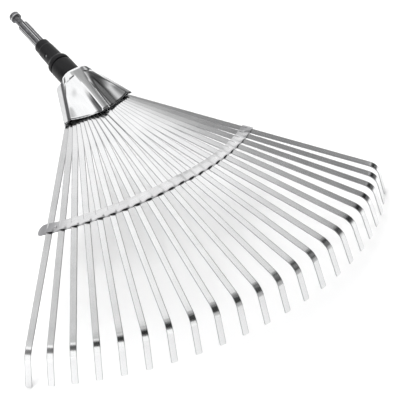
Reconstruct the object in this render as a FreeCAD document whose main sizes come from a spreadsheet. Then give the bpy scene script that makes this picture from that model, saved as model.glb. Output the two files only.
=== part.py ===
"""Leaf rake head: spring-steel tines fanned from a pressed hood, tied by a curved brace.

Frame: millimetres, +Z up, +Y along the tang towards the handle, tine tips towards -Y.
The origin is on the tang axis, in the end face of the black sleeve, where a handle stops.
The tines radiate from a virtual apex that lies inside the hood, just above the tang axis.
"""
import FreeCAD, Part
import math
import os

import Sketcher

Vector = FreeCAD.Vector
TINE_COUNT = 22
PEAK_TINE = 12          # the tine on top of the stack where the roots overlap
RIVETED_TINES = (5, 9, 15, 19)      # root rivets stand behind these tines
HEAD_RATIO = 1.75       # rivet head radius over shank radius
END_ROUNDING = ((6.0, 1.0), (3.5, 0.93), (1.6, 0.75), (0.5, 0.48), (0.0, 0.22))

# ---------------------------------------------------------------- driving dimensions

DIMENSIONS = {
    # tang, turned on the Y axis
    "shank_radius": 6.9, "shank_length": 44.2, "tail_radius": 5.8, "tail_length": 94.0,
    "neck_radius": 4.5, "neck_length": 16.0, "button_radius": 6.85, "button_length": 8.6,
    "button_dome": 1.6, "edge_break": 0.8, "flute_width": 1.7, "flute_depth": 1.1,
    "stud_radius": 4.0, "stud_length": 12.5,
    # black sleeve and its collar ring
    "sleeve_end_radius": 9.7, "sleeve_step_radius": 10.1, "sleeve_root_radius": 10.8,
    "sleeve_step_at": 10.0, "flange_at": 34.7, "flange_full_at": 39.5, "flange_radius": 14.3,
    "groove_at": 44.8, "groove_width": 2.2, "groove_radius": 13.1, "sleeve_round": 1.3,
    "recess_radius": 7.6, "recess_depth": 0.8, "shoulder_depth": 0.4,
    "ring_radius": 14.4, "ring_end_at": 79.7, "spigot_radius": 12.2, "ring_fit": 0.05,
    "keeper_radius": 13.3, "keeper_at": 81.6, "keeper_width": 3.4, "plug_radius": 11.0,
    "sleeve_length": 94.0, "bore_play": 0.1,
    "pin_radius": 2.0, "pin_length": 19.0, "pin_at": 25.2, "pin_roll": 60.0,
    "washer_radius": 8.4, "washer_thick": 1.6, "nut_flats": 13.0, "nut_height": 6.5,
    # pressed hood: sheet, and half profiles at its rear wall and at its front plane
    "sheet": 1.2, "hood_rear_at": 80.0, "hood_front_at": 150.0, "collar_hole": 12.5,
    "rear_under_x": 2.0, "rear_under_z": 4.6, "front_under_x": 2.0, "front_under_z": -7.7,
    "rear_ridge_x": 2.0, "rear_ridge_z": 4.6, "front_ridge_x": 2.0, "front_ridge_z": 6.0,
    "rear_rim_x": 26.4, "rear_rim_z": 4.5, "front_rim_x": 55.6, "front_rim_z": -8.2,
    "rear_low_x": 26.4, "rear_low_z": 4.6, "front_low_x": 55.6, "front_low_z": -7.7,
    "rear_edge_x": 18.0, "rear_edge_z": 13.1, "front_edge_x": 48.8, "front_edge_z": -4.8,
    "rear_foot_x": 14.0, "rear_foot_z": 14.6, "front_foot_x": 5.4, "front_foot_z": 7.6,
    "rear_flank_x": 10.5, "rear_flank_z": 20.4, "front_flank_x": 4.0, "front_flank_z": 9.8,
    "rear_crown_x": 4.5, "rear_crown_z": 23.0, "front_crown_x": 2.0, "front_crown_z": 10.3,
    "rear_keel_x": 25.4, "rear_keel_z": -11.0, "front_keel_x": 56.6, "front_keel_z": -17.5,
    "rear_belly_x": 13.0, "rear_belly_z": -15.0, "front_belly_x": 6.0, "front_belly_z": -4.0,
    "rear_sole_x": 8.0, "rear_sole_z": -19.0, "front_sole_x": 3.0, "front_sole_z": -5.4,
    "lip_nose_x": 5.2, "lip_nose_at": 146.5, "lip_corner_x": 40.0, "lip_corner_at": 129.8,
    "lip_side_x": 62.0, "lip_side_at": 127.6, "lower_nose_back": 5.0, "lower_side_back": 4.6,
    # fan of tines
    "apex_at": 80.0, "apex_height": 6.0, "tine_pitch": 3.842, "tine_width": 7.5,
    "tine_thick": 1.0, "root_reach": 50.0, "root_drop": 1.5, "root_step": 1.03,
    "left_step": 0.3, "right_step": 1.4,
    "bend_reach": 377.0, "reach_taper": 0.0876, "fan_crown": 0.302,
    "bend_radius": 16.0, "bend_turn": 66.5, "tip_leg": 33.5, "tip_round": 1.2,
    # clamp that holds the tine roots
    "clamp_inner": 41.0, "clamp_outer": 57.0, "clamp_half_angle": 43.5, "plate_thick": 1.2,
    "strap_thick": 1.0, "clamp_play": 0.1, "root_rivet_radius": 1.6, "root_rivet_reach": 45.2,
    # brace of two corrugated strips
    "brace_inner": 201.5, "brace_outer": 214.5, "brace_taper": 0.024, "brace_thick": 0.8,
    "brace_land": 8.6, "brace_nip": 3.6, "brace_play": 0.1, "brace_over": 13.7, "brace_arch": 1.3,
    "brace_rivet_radius": 1.2, "rivet_head_height": 0.8,
}

doc = FreeCAD.newDocument("leaf_rake")
sheet = doc.addObject("Spreadsheet::Sheet", "dims")
for row, (alias, value) in enumerate(DIMENSIONS.items(), start=1):
    sheet.set("A%d" % row, alias)
    sheet.set("B%d" % row, str(value))
    sheet.setAlias("B%d" % row, alias)
doc.recompute()

SUB_PARTS = []


def dim(alias):
    """The value of one driving dimension, as the sheet holds it."""
    return float(sheet.get(alias))


def keep(obj, label):
    """Name a finished sub-part and list it for export."""
    obj.Label = label
    SUB_PARTS.append(obj)
    return obj


# ---------------------------------------------------------------- sketch helpers

def origin_plane(body, role):
    return next(f for f in body.Origin.OriginFeatures if f.Role == role)


def evaluate(expression):
    """The number that a sheet expression gives, for a sketch's first geometry."""
    names = {alias: dim(alias) for alias in DIMENSIONS}
    total = 0.0
    for term in expression.replace("-", "+-").split("+"):
        term = term.strip()
        if not term:
            continue
        sign = -1.0 if term.startswith("-") else 1.0
        product = sign
        for factor in term.lstrip("-").split("*"):
            factor = factor.strip()
            product *= names[factor] if factor in names else float(factor)
        total += product
    return total


def bound(expression):
    """A sheet expression with each alias written as a reference to the sheet."""
    words = expression.replace("+", " + ").replace("-", " - ").replace("*", " * ").split()
    return " ".join("<<dims>>." + w if w in DIMENSIONS else w for w in words)


def outline_sketch(body, name, role, points, offset=None):
    """A closed polygon whose every corner is bound to the sheet.

    points are pairs of sheet expressions; offset moves the sketch along its normal.
    """
    sketch = body.newObject("Sketcher::SketchObject", name)
    sketch.AttachmentSupport = [(origin_plane(body, role), "")]
    sketch.MapMode = "FlatFace"
    if offset:
        sketch.setExpression("AttachmentOffset.Base.z", bound(offset))
    corners = [Vector(evaluate(a), evaluate(b), 0) for a, b in points]
    count = len(corners)
    for k in range(count):
        sketch.addGeometry(Part.LineSegment(corners[k], corners[(k + 1) % count]), False)
    for k in range(count):
        sketch.addConstraint(Sketcher.Constraint("Coincident", k, 2, (k + 1) % count, 1))
    for k, (a, b) in enumerate(points):
        for kind, value, text in (("DistanceX", corners[k].x, a), ("DistanceY", corners[k].y, b)):
            index = sketch.addConstraint(Sketcher.Constraint(kind, -1, 1, k, 1, value))
            sketch.setExpression("Constraints[%d]" % index, bound(text))
    return sketch


def new_body(name):
    return doc.addObject("PartDesign::Body", name)


def revolve(body, name, points, cut=False):
    """Turn an outline drawn in the XY plane about the Y axis."""
    sketch = outline_sketch(body, name + "Outline", "XY_Plane", points)
    kind = "PartDesign::Groove" if cut else "PartDesign::Revolution"
    feature = body.newObject(kind, name)
    feature.Profile = sketch
    feature.ReferenceAxis = (sketch, ["V_Axis"])
    feature.Angle = 360.0
    return feature


def loft(body, name, sections, cut=False):
    """A ruled loft through outlines drawn in planes parallel to XZ."""
    sketches = [
        outline_sketch(body, "%sSection%d" % (name, k), "XZ_Plane", points, offset)
        for k, (offset, points) in enumerate(sections)
    ]
    kind = "PartDesign::SubtractiveLoft" if cut else "PartDesign::AdditiveLoft"
    feature = body.newObject(kind, name)
    feature.Profile = sketches[0]
    feature.Sections = sketches[1:]
    feature.Ruled = True
    return feature


def fillet(body, name, base, edges, radius):
    feature = body.newObject("PartDesign::Fillet", name)
    feature.Base = (base, edges)
    feature.setExpression("Radius", bound(radius))
    return feature


def edges_where(shape, test):
    return ["Edge%d" % (k + 1) for k, edge in enumerate(shape.Edges) if test(edge)]


def is_circle_at(edge, y, radius):
    curve = edge.Curve
    return (isinstance(curve, Part.Circle) and abs(curve.Center.y - y) < 0.01
            and abs(curve.Radius - radius) < 0.01)


# ---------------------------------------------------------------- tang and its fixings

def make_tang():
    """Die-cast shank with a neck and a round button that a handle's catch grips."""
    body = new_body("Tang")
    neck_at = "shank_length"
    button_at = "shank_length+neck_length"
    end = "shank_length+neck_length+button_length"
    turned = revolve(body, "TangTurned", [
        ("0", "0-tail_length-stud_length"),
        ("stud_radius", "0-tail_length-stud_length"),
        ("stud_radius", "0-tail_length"),
        ("tail_radius", "0-tail_length"),
        ("tail_radius", "0-shoulder_depth"),
        ("shank_radius", "0-shoulder_depth"),
        ("shank_radius", neck_at + "-edge_break"),
        ("shank_radius-edge_break", neck_at),
        ("neck_radius", neck_at),
        ("neck_radius", button_at),
        ("button_radius-edge_break", button_at),
        ("button_radius", button_at + "+edge_break"),
        ("button_radius", end + "-button_dome"),
        ("button_radius-button_dome", end + "-0.3*button_dome"),
        ("0", end),
    ])
    doc.recompute()
    flute = outline_sketch(body, "TangFluteOutline", "XZ_Plane", [
        ("0-0.5*flute_width", "shank_radius-flute_depth"),
        ("0.5*flute_width", "shank_radius-flute_depth"),
        ("0.5*flute_width", "shank_radius+flute_depth"),
        ("0-0.5*flute_width", "shank_radius+flute_depth"),
    ])
    pocket = body.newObject("PartDesign::Pocket", "TangFlute")
    pocket.Profile = flute
    pocket.Reversed = False
    pocket.setExpression("Length", bound("shank_length"))
    doc.recompute()
    before = turned.Shape.Volume
    if pocket.Shape.Volume > before - 1.0:
        pocket.Reversed = True
        doc.recompute()
    pattern = body.newObject("PartDesign::PolarPattern", "TangFlutes")
    pattern.Originals = [pocket]
    pattern.Axis = (origin_axis(body, "Y_Axis"), [""])
    pattern.Angle = 360.0
    pattern.Occurrences = 5
    body.Tip = pattern
    doc.recompute()
    bore_for_pin(body, "TangPinHole")
    return keep(body, "tang")


def origin_axis(body, role):
    return next(f for f in body.Origin.OriginFeatures if f.Role == role)


def bore_for_pin(body, name):
    """The cross hole of the roll pin, square to the tang axis and rolled to one side."""
    sketch = body.newObject("Sketcher::SketchObject", name + "Outline")
    sketch.AttachmentSupport = [(origin_plane(body, "XY_Plane"), "")]
    sketch.MapMode = "FlatFace"
    sketch.setExpression("AttachmentOffset.Rotation.Angle", bound("0-pin_roll"))
    sketch.AttachmentOffset = FreeCAD.Placement(
        Vector(0, 0, 0), FreeCAD.Rotation(Vector(0, 1, 0), -dim("pin_roll")))
    sketch.addGeometry(Part.Circle(Vector(0, -dim("pin_at"), 0), Vector(0, 0, 1),
                                   dim("pin_radius")), False)
    centre_x = sketch.addConstraint(Sketcher.Constraint("DistanceX", -1, 1, 0, 3, 0.0))
    centre_y = sketch.addConstraint(
        Sketcher.Constraint("DistanceY", -1, 1, 0, 3, -dim("pin_at")))
    radius = sketch.addConstraint(Sketcher.Constraint("Radius", 0, dim("pin_radius")))
    sketch.setExpression("Constraints[%d]" % centre_x, "0")
    sketch.setExpression("Constraints[%d]" % centre_y, bound("0-pin_at"))
    sketch.setExpression("Constraints[%d]" % radius, bound("pin_radius"))
    pocket = body.newObject("PartDesign::Pocket", name)
    pocket.Profile = sketch
    pocket.Type = "ThroughAll"
    pocket.Midplane = True
    body.Tip = pocket
    return pocket


def make_sleeve():
    """Black moulded sleeve: tapered barrel, flange, and a spigot kept inside the hood."""
    body = new_body("Sleeve")
    bore = "tail_radius+bore_play"
    revolve(body, "SleeveTurned", [
        (bore, "0-recess_depth"),
        ("recess_radius", "0-recess_depth"),
        ("recess_radius", "0"),
        ("sleeve_end_radius", "0"),
        ("sleeve_step_radius-0.2", "0-sleeve_step_at"),
        ("sleeve_step_radius+0.2", "0-sleeve_step_at-1"),
        ("sleeve_root_radius", "0-flange_at"),
        ("flange_radius", "0-flange_full_at"),
        ("flange_radius", "0-groove_at"),
        ("spigot_radius", "0-groove_at"),
        ("spigot_radius", "0-keeper_at"),
        ("keeper_radius", "0-keeper_at"),
        ("keeper_radius", "0-keeper_at-keeper_width"),
        ("plug_radius", "0-keeper_at-keeper_width"),
        ("plug_radius", "0-sleeve_length"),
        (bore, "0-sleeve_length"),
    ])
    doc.recompute()
    end_edges = edges_where(body.Shape, lambda e: is_circle_at(e, 0, dim("sleeve_end_radius")))
    fillet(body, "SleeveEndRound", body.Tip, end_edges, "sleeve_round")
    doc.recompute()
    bore_for_pin(body, "SleevePinHole")
    return keep(body, "handle_sleeve")


def make_collar_ring():
    """Black ring that slides over the sleeve and closes the hood's rear wall."""
    body = new_body("CollarRing")
    inner = "spigot_radius+ring_fit"
    revolve(body, "CollarRingTurned", [
        (inner, "0-groove_at"),
        ("groove_radius", "0-groove_at"),
        ("groove_radius", "0-groove_at-groove_width"),
        ("ring_radius-0.5", "0-groove_at-groove_width"),
        ("ring_radius", "0-groove_at-groove_width-1.5"),
        ("ring_radius", "0-ring_end_at+0.8"),
        ("ring_radius-0.8", "0-ring_end_at"),
        (inner, "0-ring_end_at"),
    ])
    return keep(body, "collar_ring")


def make_cross_pin():
    """Roll pin through the sleeve and the tang's tail."""
    pin = doc.addObject("Part::Cylinder", "CrossPin")
    pin.setExpression("Radius", bound("pin_radius"))
    pin.setExpression("Height", bound("pin_length"))
    turn = FreeCAD.Rotation(Vector(0, 1, 0), -dim("pin_roll"))
    half = turn.multVec(Vector(0, 0, -0.5 * dim("pin_length")))
    pin.Placement = FreeCAD.Placement(Vector(0, -dim("pin_at"), 0) + half, turn)
    return keep(pin, "cross_pin")


def make_washer_and_nut():
    """Washer and nut on the tang's threaded end, inside the hood."""
    washer = new_body("Washer")
    hole = "stud_radius+0.2"
    revolve(washer, "WasherTurned", [
        (hole, "0-sleeve_length"),
        ("washer_radius", "0-sleeve_length"),
        ("washer_radius", "0-sleeve_length-washer_thick"),
        (hole, "0-sleeve_length-washer_thick"),
    ])
    keep(washer, "tang_washer")

    blank = doc.addObject("Part::Prism", "NutBlank")
    blank.Polygon = 6
    blank.setExpression("Circumradius", bound("nut_flats") + " / cos(30)")
    blank.setExpression("Height", bound("nut_height"))
    hole_tool = doc.addObject("Part::Cylinder", "NutHole")
    hole_tool.setExpression("Radius", bound("stud_radius+0.02"))
    hole_tool.setExpression("Height", bound("nut_height"))
    nut = doc.addObject("Part::Cut", "Nut")
    nut.Base = blank
    nut.Tool = hole_tool
    blank.setExpression("Circumradius", "0.5 * " + bound("nut_flats") + " / cos(30)")
    nut.Placement = FreeCAD.Placement(
        Vector(0, -dim("sleeve_length") - dim("washer_thick"), 0),
        FreeCAD.Rotation(Vector(1, 0, 0), 90))
    return keep(nut, "tang_nut")


# ---------------------------------------------------------------- pressed hood

def mirrored(half):
    """A whole outline from its right half: each corner is (x, z), listed outside to centre."""
    right = [(x, z) for x, z in half]
    left = [("0-" + x.replace("-", "~").replace("+", "-").replace("~", "+"), z)
            for x, z in reversed(half)]
    return right + left


def hood_half(place, names, inset):
    """Right half of a hood profile at the rear or front, moved in by part of the sheet."""
    half = []
    for name, (side, down) in names:
        x = "%s_%s_x" % (place, name)
        z = "%s_%s_z" % (place, name)
        if inset:
            x += "-%g*sheet" % side
            z += "-%g*sheet" % down if down >= 0 else "+%g*sheet" % -down
        half.append((x, z))
    return half


# The first corner of each profile is the middle of the shell's open side.
TOP_PROFILE = [("under", (0, 0)), ("low", (1.25, 0)), ("edge", (0.75, 1.0)),
               ("foot", (0.5, 1.0)), ("flank", (0.8, 0.9)), ("crown", (0.4, 1.0))]
BOTTOM_PROFILE = [("ridge", (0, 0)), ("rim", (1.15, 0)), ("keel", (0.9, -0.9)), ("belly", (0.5, -1.0)),
                  ("sole", (0.5, -1.0))]


def make_hood_shell(name, profile, label, beyond, lower):
    """One pressed half of the hood: lofted skin, arched lip, hollow and collar hole.

    beyond is how far the hollow runs out through the open side, with its sign along Z.
    The lower half's lip stands a little behind the upper one's.
    """
    body = new_body(name)
    outer = [(offset, mirrored(hood_half(place, profile, False)))
             for offset, place in (("hood_rear_at", "rear"), ("hood_front_at", "front"))]
    loft(body, name + "Skin", outer)
    trim_lip(body, name, lower)
    inner = []
    for offset, place in (("hood_rear_at+sheet", "rear"), ("hood_front_at+1", "front")):
        half = hood_half(place, profile, True)
        open_side = [(x, "%s%+g" % (z, beyond)) for x, z in half[:2]]
        inner.append((offset, mirrored(open_side + half[1:])))
    loft(body, name + "Hollow", inner, cut=True)

    collar = outline_sketch(body, name + "CollarOutline", "XY_Plane", [
        ("0", "0-hood_rear_at+1"), ("collar_hole", "0-hood_rear_at+1"),
        ("collar_hole", "0-hood_rear_at-sheet-1"), ("0", "0-hood_rear_at-sheet-1")])
    hole = body.newObject("PartDesign::Groove", name + "CollarHole")
    hole.Profile = collar
    hole.ReferenceAxis = (collar, ["V_Axis"])
    hole.Angle = 360.0
    return keep(body, label)


def trim_lip(body, name, lower):
    """Cut the front edge to straight runs from a short nose back to the side corners."""
    nose_back = "+lower_nose_back" if lower else ""
    side_back = "+lower_side_back" if lower else ""
    right = [("lip_nose_x", "0-lip_nose_at" + nose_back),
             ("lip_corner_x", "0-lip_corner_at" + side_back),
             ("lip_side_x", "0-lip_side_at" + side_back),
             ("lip_side_x", "0-hood_front_at-10")]
    left = [("0-" + x, y) for x, y in reversed(right)]
    sketch = outline_sketch(body, name + "LipOutline", "XY_Plane", right + left)
    pocket = body.newObject("PartDesign::Pocket", name + "Lip")
    pocket.Profile = sketch
    pocket.Type = "ThroughAll"
    pocket.Midplane = True
    return pocket


# ---------------------------------------------------------------- fan geometry

def apex():
    return Vector(0, -dim("apex_at"), dim("apex_height"))


def tine_angle(number):
    """Angle of a tine from the centre line, in radians; tine 1 is at -X."""
    return math.radians(dim("tine_pitch")) * (number - 0.5 * (TINE_COUNT + 1))


def root_height(number):
    """Height above the apex of a tine's middle plane at its root.

    The roots overlap like shingles: each tine outwards from the peak lies one step lower,
    and the two beside the peak tine drop further, so that they clear it and each other.
    """
    steps = number - PEAK_TINE
    extra = dim("left_step") if steps < 0 else dim("right_step") if steps > 0 else 0.0
    return -dim("root_drop") - dim("root_step") * abs(steps) - extra


def bend_reach(angle):
    """Distance from the apex to the start of the bend; side tines are shorter."""
    return dim("bend_reach") * (1 - dim("reach_taper") * angle * angle)


def crown_height(angle, reach):
    """Height above the apex of the crowned surface that the bends follow."""
    return -dim("fan_crown") * angle * angle * reach


def blade_height(number, reach):
    """Height above the apex of a tine's middle plane at a given distance from the apex."""
    angle = tine_angle(number)
    start, end = dim("root_reach"), bend_reach(angle)
    share = (reach - start) / (end - start)
    return root_height(number) * (1 - share) + crown_height(angle, end) * share


def fan_point(angle, reach, height):
    return apex() + Vector(reach * math.sin(angle), -reach * math.cos(angle), height)


# ---------------------------------------------------------------- tines

def make_tine(number):
    """Flat spring-steel strip: straight blade, rounded bend, straight tip leg."""
    angle = tine_angle(number)
    run = bend_reach(angle) - dim("root_reach")
    fall = crown_height(angle, bend_reach(angle)) - root_height(number)
    length = math.hypot(run, fall)
    slope = math.atan2(fall, run)

    body = new_body("Tine%02d" % number)
    sketch = body.newObject("Sketcher::SketchObject", "TineProfile%02d" % number)
    sketch.AttachmentSupport = [(origin_plane(body, "XZ_Plane"), "")]
    sketch.MapMode = "FlatFace"
    half = 0.5 * dim("tine_thick")
    turn = math.radians(dim("bend_turn"))
    centre = Vector(length, -dim("bend_radius"), 0)
    inner = dim("bend_radius") - half
    outer = dim("bend_radius") + half
    leg = Vector(math.cos(-turn), math.sin(-turn), 0) * dim("tip_leg")

    def on_arc(radius):
        return centre + Vector(math.sin(turn), math.cos(turn), 0) * radius

    top = [Vector(0, half, 0), Vector(length, half, 0), on_arc(outer), on_arc(outer) + leg]
    low = [on_arc(inner) + leg, on_arc(inner), Vector(length, -half, 0), Vector(0, -half, 0)]
    sketch.addGeometry(Part.LineSegment(top[0], top[1]), False)
    sketch.addGeometry(arc_down(centre, outer, turn), False)
    sketch.addGeometry(Part.LineSegment(top[2], top[3]), False)
    sketch.addGeometry(Part.LineSegment(top[3], low[0]), False)
    sketch.addGeometry(Part.LineSegment(low[0], low[1]), False)
    sketch.addGeometry(arc_down(centre, inner, turn), False)
    sketch.addGeometry(Part.LineSegment(low[2], low[3]), False)
    sketch.addGeometry(Part.LineSegment(low[3], top[0]), False)
    add_tine_constraints(sketch, length)

    pad = body.newObject("PartDesign::Pad", "TineStrip%02d" % number)
    pad.Profile = sketch
    pad.Midplane = True
    pad.setExpression("Length", bound("tine_width"))
    doc.recompute()
    tip_end = low[0]
    corners = edges_where(body.Shape, lambda e: is_tip_corner(e, top[3], tip_end))
    fillet(body, "TineTipRound%02d" % number, pad, corners, "tip_round")

    base = fan_point(angle, dim("root_reach"), root_height(number))
    heading = FreeCAD.Rotation(Vector(0, 0, 1), math.degrees(angle) - 90)
    pitch = FreeCAD.Rotation(Vector(0, 1, 0), -math.degrees(slope))
    body.Placement = FreeCAD.Placement(base, heading.multiply(pitch))
    return keep(body, "tine_%02d" % number)


def arc_down(centre, radius, turn):
    """The arc of the bend, from the end of the blade round to the tip leg."""
    circle = Part.Circle(centre, Vector(0, 0, 1), radius)
    return Part.ArcOfCircle(circle, math.pi / 2 - turn, math.pi / 2)


def add_tine_constraints(sketch, length):
    """Tie the strip's outline together and bind its sizes to the sheet.

    Lines run 0 top of blade, 2 outside of leg, 3 tip, 4 inside of leg, 6 underside, 7 root;
    arcs are 1 outside and 5 inside. An arc's start point is on the leg, its end on the blade.
    """
    add = sketch.addConstraint
    for first, second in (((0, 2), (1, 2)), ((2, 2), (3, 1)), ((3, 2), (4, 1)),
                          ((5, 2), (6, 1)), ((6, 2), (7, 1)), ((7, 2), (0, 1)), ((1, 3), (5, 3))):
        add(Sketcher.Constraint("Coincident", *first, *second))
    add(Sketcher.Constraint("Tangent", 1, 1, 2, 1))
    add(Sketcher.Constraint("Tangent", 4, 2, 5, 1))
    add(Sketcher.Constraint("Horizontal", 0))
    add(Sketcher.Constraint("Horizontal", 6))
    add(Sketcher.Constraint("Vertical", 7))
    add(Sketcher.Constraint("Parallel", 2, 4))
    add(Sketcher.Constraint("Perpendicular", 3, 4))
    add(Sketcher.Constraint("DistanceX", -1, 1, 1, 3, length))
    add(Sketcher.Constraint("DistanceX", -1, 1, 1, 2, length))
    add(Sketcher.Constraint("DistanceX", -1, 1, 5, 2, length))
    bindings = (
        (("DistanceX", -1, 1, 7, 2), 0.0, "0"),
        (("DistanceY", -1, 1, 7, 2), 0.5 * dim("tine_thick"), "0.5*tine_thick"),
        (("DistanceY", 7, 1, 7, 2), dim("tine_thick"), "tine_thick"),
        (("Radius", 1), dim("bend_radius") + 0.5 * dim("tine_thick"),
         "bend_radius+0.5*tine_thick"),
        (("Distance", 2), dim("tip_leg"), "tip_leg"),
        (("Angle", 2), -math.radians(dim("bend_turn")), "0-bend_turn"),
    )
    for key, value, text in bindings:
        index = add(Sketcher.Constraint(*key, value))
        sketch.setExpression("Constraints[%d]" % index, bound(text))


def is_tip_corner(edge, first, second):
    """True for the two short edges across the thickness at the free end of a strip."""
    if len(edge.Vertexes) != 2:
        return False
    ends = [v.Point for v in edge.Vertexes]
    spots = [Vector(first.x, 0, first.y), Vector(second.x, 0, second.y)]
    flat = [Vector(p.x, 0, p.z) for p in ends]
    return ((flat[0].distanceToPoint(spots[0]) < 0.01 and flat[1].distanceToPoint(spots[1]) < 0.01)
            or (flat[0].distanceToPoint(spots[1]) < 0.01
                and flat[1].distanceToPoint(spots[0]) < 0.01))


# ---------------------------------------------------------------- root clamp

def ribbon(stations):
    """A solid through box-shaped cross sections, each given by its four corners."""
    wires = [Part.makePolygon(list(corners) + [corners[0]]) for corners in stations]
    return Part.makeLoft(wires, True, True)


def clamp_station(angle, side, thick):
    """Cross section of a clamp bar: side +1 lies on the stack of roots, -1 under it."""
    reach = dim("root_reach")
    cover = 0.5 * dim("tine_width") / reach + 0.5 * math.radians(dim("tine_pitch"))
    numbers = range(1, TINE_COUNT + 1)
    under = [n for n in numbers if abs(angle - tine_angle(n)) <= cover]
    near, far = dim("clamp_inner"), dim("clamp_outer")
    corners = []
    for reach, rise in ((near, 0), (far, 0), (far, thick), (near, thick)):
        heights = [side * blade_height(n, reach) for n in under]
        face = max(heights) + 0.5 * dim("tine_thick") + dim("clamp_play")
        corners.append(fan_point(angle, reach, side * (face + rise)))
    return corners


def clamp_angles():
    """Stations along a clamp bar: one on each tine and one between each two."""
    half = 0.5 * math.radians(dim("tine_pitch"))
    middle = 0.5 * (TINE_COUNT + 1)
    inside = [tine_angle(middle + 0.5 * k) for k in range(-TINE_COUNT + 1, TINE_COUNT)]
    edge = min(math.radians(dim("clamp_half_angle")), inside[-1] + 2 * half)
    return [-edge] + inside + [edge]


def make_group(name, label, solids):
    """Identical fasteners as one sub-part made of separate solids."""
    group = doc.addObject("Part::Feature", name)
    group.Shape = Part.makeCompound(solids)
    return keep(group, label)


def rivet(middle, axis, radius, grip):
    """A rivet about its middle, with a low domed head at each end of its grip."""
    head = dim("rivet_head_height")
    wide = HEAD_RATIO * radius
    half = 0.5 * grip
    profile = [Vector(0, 0, -half - head), Vector(0.6 * wide, 0, -half - 0.8 * head),
               Vector(wide, 0, -half), Vector(radius, 0, -half), Vector(radius, 0, half),
               Vector(wide, 0, half), Vector(0.6 * wide, 0, half + 0.8 * head),
               Vector(0, 0, half + head), Vector(0, 0, -half - head)]
    solid = Part.Face(Part.makePolygon(profile)).revolve(Vector(), Vector(0, 0, 1), 360)
    solid.Placement = FreeCAD.Placement(middle, FreeCAD.Rotation(Vector(0, 0, 1), axis))
    return solid


def drill(middle, axis, radius):
    """A rod along an axis, for cutting the hole of a rivet."""
    reach = 12.0
    return Part.makeCylinder(radius, 2 * reach, middle - axis * reach, axis)


# ---------------------------------------------------------------- brace

def brace_reach(angle, reach):
    return reach * (1 + dim("brace_taper") * angle * angle)


def brace_stops():
    """Stations along the brace: (angle, tine it lies on or None, share of the hump, width)."""
    radius = 0.5 * (dim("brace_inner") + dim("brace_outer"))
    land = 0.5 * dim("brace_land") / radius
    nip = 0.5 * dim("brace_nip") / radius
    half_pitch = 0.5 * math.radians(dim("tine_pitch"))
    stops = []
    for number in range(1, TINE_COUNT + 1):
        angle = tine_angle(number)
        stops += [(angle - half_pitch + nip, None, 0.0, 1.0), (angle - land, number, 1.0, 1.0),
                  (angle + land, number, 1.0, 1.0), (angle + half_pitch - nip, None, 0.0, 1.0)]
    over = dim("brace_over") / radius
    first, last = tine_angle(1) - over, tine_angle(TINE_COUNT) + over
    for back, width in END_ROUNDING:
        stops.insert(0, (first + back / radius, None, 0.0, width))
        stops.append((last - back / radius, None, 0.0, width))
    return stops


def brace_surface(angle, number, reach):
    """Height of the brace's middle surface: level over a tine, on the crown between tines."""
    if number:
        return blade_height(number, reach)
    position = angle / math.radians(dim("tine_pitch")) + 0.5 * (TINE_COUNT + 1)
    below = min(max(int(math.floor(position)), 1), TINE_COUNT - 1)
    share = position - below
    return (1 - share) * blade_height(below, reach) + share * blade_height(below + 1, reach)


def brace_station(stop, side):
    """Cross section of one strip: side +1 is the upper strip, -1 the lower one."""
    angle, number, hump, width = stop
    middle = 0.5 * (dim("brace_inner") + dim("brace_outer"))
    half = 0.5 * (dim("brace_outer") - dim("brace_inner")) * width
    arch = dim("brace_arch") if side > 0 else 0.0
    near = side * hump * (0.5 * dim("tine_thick") + dim("brace_play") + arch)
    far = near + side * dim("brace_thick")
    corners = []
    for reach, rise in ((middle - half, near), (middle + half, near),
                        (middle + half, far), (middle - half, far)):
        actual = brace_reach(angle, reach)
        corners.append(fan_point(angle, actual, brace_surface(angle, number, actual) + rise))
    return corners


def brace_rivet_frames():
    """Middle and axis of the rivets, where the strips meet beside the outermost tines."""
    radius = 0.5 * (dim("brace_inner") + dim("brace_outer"))
    frames = []
    for position in (1.5, TINE_COUNT - 0.5):
        angle = tine_angle(position)
        spots = []
        for turn, reach in ((0, radius), (0.001, radius), (0, radius + 1)):
            actual = brace_reach(angle + turn, reach)
            height = brace_surface(angle + turn, None, actual)
            spots.append(fan_point(angle + turn, actual, height))
        axis = (spots[1] - spots[0]).cross(spots[2] - spots[0])
        axis.normalize()
        frames.append((spots[0], axis))
    return frames


def make_brace():
    """The two brace strips, pinched between the tines, and the rivets near their ends."""
    frames = brace_rivet_frames()
    radius = dim("brace_rivet_radius")
    holes = Part.makeCompound([drill(middle, axis, radius) for middle, axis in frames])
    for name, label, side in (("BraceLower", "brace_lower_strip", -1),
                              ("BraceUpper", "brace_upper_strip", 1)):
        strip = doc.addObject("Part::Feature", name)
        strip.Shape = ribbon([brace_station(stop, side) for stop in brace_stops()]).cut(holes)
        keep(strip, label)
    grip = 2 * dim("brace_thick") + 0.1
    make_group("BraceRivets", "brace_rivets",
               [rivet(middle, axis, radius, grip) for middle, axis in frames])


def make_root_clamp():
    """Plate under the stacked tine roots, strap over them, and rivets behind their ends."""
    radius, reach = dim("root_rivet_radius"), dim("root_rivet_reach")
    up = Vector(0, 0, 1)
    middles = [fan_point(tine_angle(n), reach, blade_height(n, reach)) for n in RIVETED_TINES]
    holes = Part.makeCompound([drill(middle, up, radius) for middle in middles])
    bars = []
    for name, label, side, thick in (("RootPlate", "tine_root_plate", -1, dim("plate_thick")),
                                     ("RootStrap", "tine_root_strap", 1, dim("strap_thick"))):
        bar = doc.addObject("Part::Feature", name)
        bar.Shape = ribbon([clamp_station(a, side, thick) for a in clamp_angles()]).cut(holes)
        bars.append(keep(bar, label))
    rivets = []
    for middle in middles:
        head = drill(middle, up, HEAD_RATIO * radius)
        low = head.common(bars[0].Shape).BoundBox.ZMin
        high = head.common(bars[1].Shape).BoundBox.ZMax
        centre = Vector(middle.x, middle.y, 0.5 * (low + high))
        rivets.append(rivet(centre, up, radius, high - low + 0.02))
    make_group("RootRivets", "root_rivets", rivets)


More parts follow.
